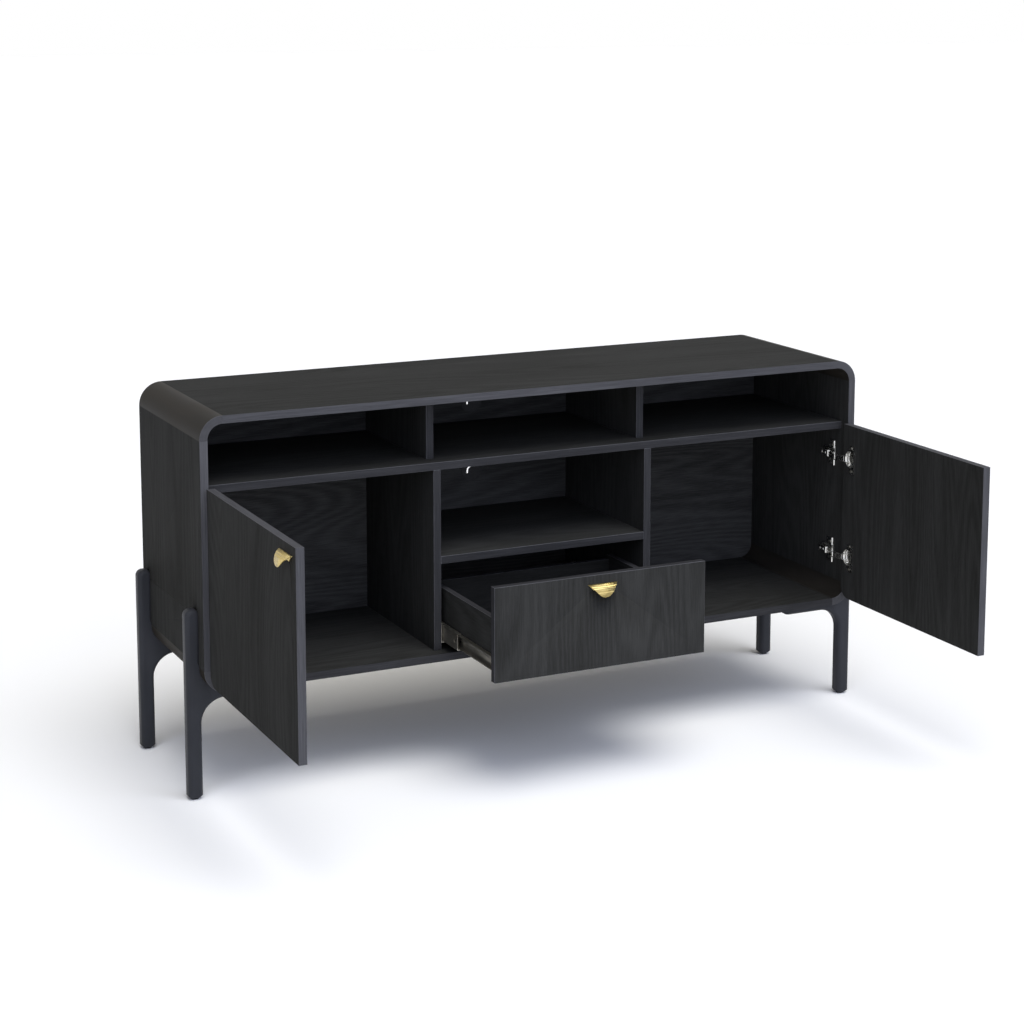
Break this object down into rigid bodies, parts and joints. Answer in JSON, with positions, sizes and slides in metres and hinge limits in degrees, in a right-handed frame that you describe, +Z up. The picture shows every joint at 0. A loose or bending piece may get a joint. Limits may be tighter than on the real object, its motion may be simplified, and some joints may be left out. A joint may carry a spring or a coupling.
{
  "type": "media cabinet",
  "caption": "Low media cabinet with rounded carcass corners, open upper bays, two hinged doors, a centre drawer on ball-bearing slides and bracket legs with outside posts.",
  "frame": {"origin": "on the floor under the middle of the bounding box at rest, with both doors open at 90 degrees and the drawer pulled out 215 mm", "axes": "+X to the right along the width seen from the front, +Y towards the back panel, +Z up"},
  "size_m": [1.4472, 0.8414, 0.722],
  "materials": {
    "black_oak_laminate": "matt black-stained open-grain oak laminate with edge banding",
    "corner_lacquer": "smooth satin dark lacquer on moulded corner pieces",
    "leg_paint": "satin charcoal paint",
    "dark_plastic": "moulded",
    "zinc_steel": "zinc plated",
    "beech": "raw turned beech",
    "nickel_plate": "bright nickel plate",
    "dark_steel": "rolled, black-zinc plated",
    "brass": "satin brushed"
  },
  "bodies": {
    "cabinet": {"top_panel": "black_oak_laminate", "bottom_panel": "black_oak_laminate", "left_side_panel": "black_oak_laminate", "right_side_panel": "black_oak_laminate", "top_left_corner": "corner_lacquer", "top_right_corner": "corner_lacquer", "bottom_left_corner": "corner_lacquer", "bottom_right_corner": "corner_lacquer", "long_shelf": "black_oak_laminate", "upper_left_divider": "black_oak_laminate", "upper_right_divider": "black_oak_laminate", "lower_left_divider": "black_oak_laminate", "lower_right_divider": "black_oak_laminate", "middle_shelf": "black_oak_laminate", "back_panel": "black_oak_laminate", "upper_cable_cover": "dark_plastic", "lower_cable_cover": "dark_plastic", "front_left_leg": "leg_paint", "front_right_leg": "leg_paint", "rear_left_leg": "leg_paint", "rear_right_leg": "leg_paint", "foot_glides": "dark_plastic", "leg_screws": "zinc_steel", "carcass_dowels": "beech", "shelf_cams": "zinc_steel", "shelf_cam_bolts": "zinc_steel", "divider_screws": "zinc_steel", "hinge_plates": "nickel_plate", "hinge_arms": "nickel_plate", "hinge_plate_screws": "zinc_steel", "left_slide_cabinet_member": "dark_steel", "right_slide_cabinet_member": "dark_steel", "slide_cabinet_screws": "zinc_steel"},
    "left_door": {"left_door": "black_oak_laminate", "left_door_pull": "brass", "left_pull_studs": "zinc_steel", "left_hinge_cups": "nickel_plate", "left_hinge_pins": "nickel_plate", "left_door_screws": "zinc_steel"},
    "right_door": {"right_door": "black_oak_laminate", "right_door_pull": "brass", "right_pull_studs": "zinc_steel", "right_hinge_cups": "nickel_plate", "right_hinge_pins": "nickel_plate", "right_door_screws": "zinc_steel"},
    "left_hinge_links": {"left_hinge_links": "nickel_plate"},
    "right_hinge_links": {"right_hinge_links": "nickel_plate"},
    "drawer": {"drawer_front": "black_oak_laminate", "drawer_left_side": "black_oak_laminate", "drawer_right_side": "black_oak_laminate", "drawer_back": "black_oak_laminate", "drawer_bottom": "black_oak_laminate", "drawer_pull": "brass", "drawer_pull_studs": "zinc_steel", "drawer_box_screws": "zinc_steel", "drawer_dowels": "beech", "slide_drawer_screws": "zinc_steel", "left_slide_drawer_member": "dark_steel", "right_slide_drawer_member": "dark_steel"},
    "slide_middle_members": {"left_slide_middle_member": "dark_steel", "right_slide_middle_member": "dark_steel", "ball_retainers": "nickel_plate"}
  },
  "joints": [
    {"name": "left_door_hinge", "type": "hinge", "parent": "cabinet", "child": "left_door", "pos_m": [-0.687, 0.04275, 0.4], "axis": [0, 0, -1], "range_deg": [-90, 5]},
    {"name": "right_door_hinge", "type": "hinge", "parent": "cabinet", "child": "right_door", "pos_m": [0.687, 0.04275, 0.4], "axis": [0, 0, 1], "range_deg": [-90, 5]},
    {"name": "left_link_pivot", "type": "hinge", "parent": "left_door", "child": "left_hinge_links", "pos_m": [-0.6745, 0.02375, 0.4], "axis": [0, 0, 1], "range_deg": [-140, 10]},
    {"name": "right_link_pivot", "type": "hinge", "parent": "right_door", "child": "right_hinge_links", "pos_m": [0.6745, 0.02375, 0.4], "axis": [0, 0, -1], "range_deg": [-140, 10]},
    {"name": "drawer_slide", "type": "slide", "parent": "cabinet", "child": "drawer", "axis": [0, -1, 0], "range_m": [-0.215, 0.085]},
    {"name": "slide_middle_travel", "type": "slide", "parent": "cabinet", "child": "slide_middle_members", "axis": [0, -1, 0], "range_m": [-0.1075, 0.0425]}
  ],
  "couplings": [
    {"joint": "left_link_pivot", "follows": "left_door_hinge", "ratio": 1.53},
    {"joint": "right_link_pivot", "follows": "right_door_hinge", "ratio": 1.53},
    {"joint": "slide_middle_travel", "follows": "drawer_slide", "ratio": 0.5}
  ]
}
